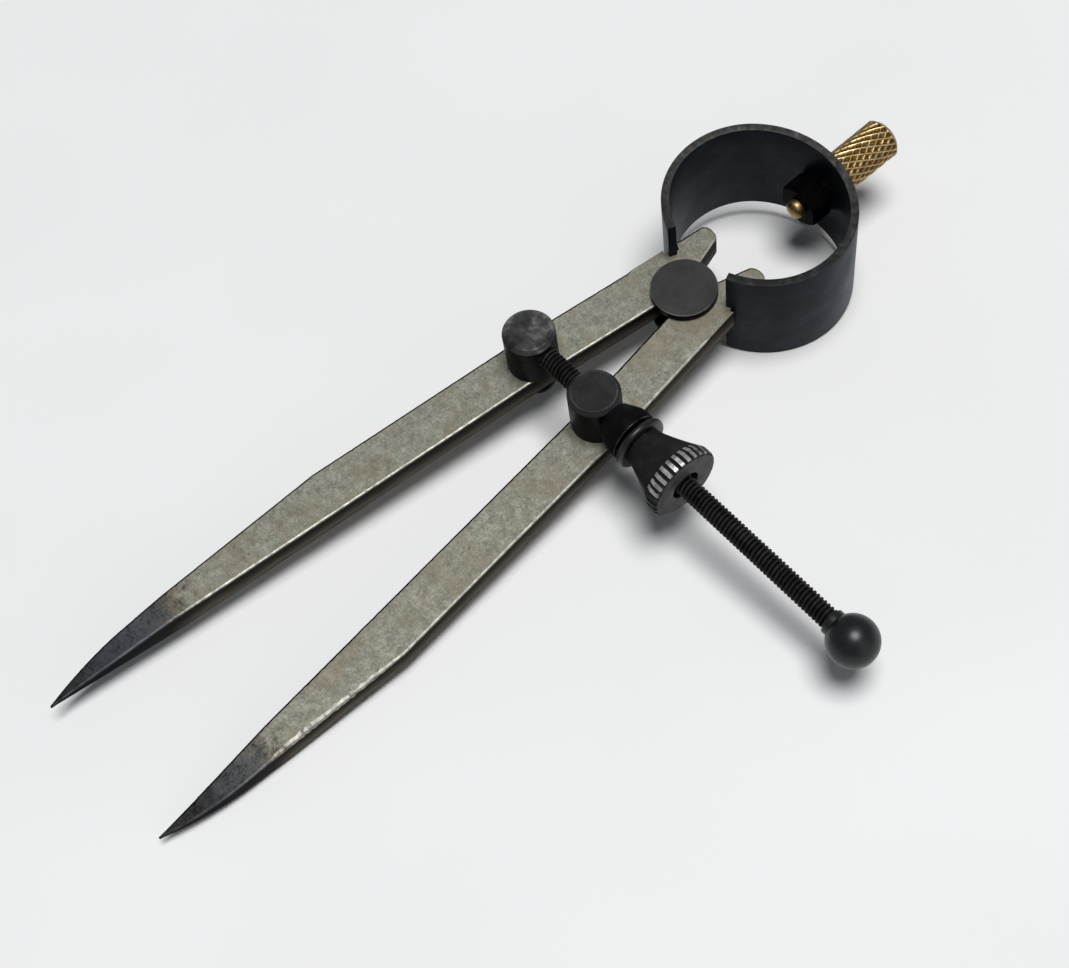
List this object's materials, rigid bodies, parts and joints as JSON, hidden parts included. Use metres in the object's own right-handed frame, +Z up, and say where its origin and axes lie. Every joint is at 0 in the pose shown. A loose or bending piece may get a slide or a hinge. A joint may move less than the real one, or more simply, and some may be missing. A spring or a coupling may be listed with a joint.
{
  "type": "spring divider",
  "caption": "Spring divider: flat pointed legs on a flanged fulcrum, bow spring over their heads, knurled brass handle, and a cross screw with a conical nut that sets the gap between the points.",
  "frame": {"origin": "on the fulcrum axis, in the middle plane of the legs' thickness", "axes": "+Y from the fulcrum to the handle, the points along -Y; +Z up, the side on which the posts stand; +X the side of the ball stop"},
  "size_m": [0.0531, 0.1039, 0.0153],
  "materials": {
    "leg_steel": "ground grey steel with a mottled patina and blued points",
    "spring_steel": "blued black spring steel, satin",
    "blackened_steel": "black oxide, semi-gloss, worn on edges",
    "brass": "diamond-knurled brass"
  },
  "bodies": {
    "head": {"bow_spring": "spring_steel", "fulcrum_stud": "blackened_steel", "fulcrum_washer": "blackened_steel", "handle": "brass", "handle_nut": "blackened_steel"},
    "left_arm": {"left_leg": "leg_steel"},
    "right_arm": {"right_leg": "leg_steel"},
    "screw_swivel": {"left_post": "blackened_steel", "left_post_washer": "blackened_steel", "adjusting_screw": "blackened_steel", "ball_stop": "blackened_steel"},
    "seat_swivel": {"right_post": "blackened_steel", "right_post_washer": "blackened_steel", "seat_collar": "blackened_steel"},
    "nut": {"adjusting_nut": "blackened_steel", "thrust_washer": "blackened_steel"}
  },
  "joints": [
    {"name": "left_leg_hinge", "type": "hinge", "parent": "head", "child": "left_arm", "pos_m": [0, 0, 0], "axis": [0, 0, -1], "range_deg": [-6.32, 15.41], "deforming": ["bow_spring"]},
    {"name": "right_leg_hinge", "type": "hinge", "parent": "head", "child": "right_arm", "pos_m": [0, 0, 0], "axis": [0, 0, 1], "range_deg": [-6.32, 15.41], "deforming": ["bow_spring"]},
    {"name": "screw_post_swivel", "type": "hinge", "parent": "left_arm", "child": "screw_swivel", "pos_m": [-0.00485, -0.01645, 0], "axis": [0, 0, 1], "range_deg": [-6.32, 15.41]},
    {"name": "seat_post_swivel", "type": "hinge", "parent": "right_arm", "child": "seat_swivel", "pos_m": [0.00485, -0.01645, 0], "axis": [0, 0, -1], "range_deg": [-6.32, 15.41]},
    {"name": "nut_turn", "type": "hinge", "parent": "seat_swivel", "child": "nut", "pos_m": [0.0147, -0.01645, 0.005], "axis": [1, 0, 0], "range_deg": [-2880, 7020]}
  ],
  "couplings": [
    {"joint": "left_leg_hinge", "follows": "nut_turn", "ratio": 0.0021949},
    {"joint": "right_leg_hinge", "follows": "nut_turn", "ratio": 0.0021949},
    {"joint": "screw_post_swivel", "follows": "nut_turn", "ratio": 0.0021949},
    {"joint": "seat_post_swivel", "follows": "nut_turn", "ratio": 0.0021949}
  ]
}
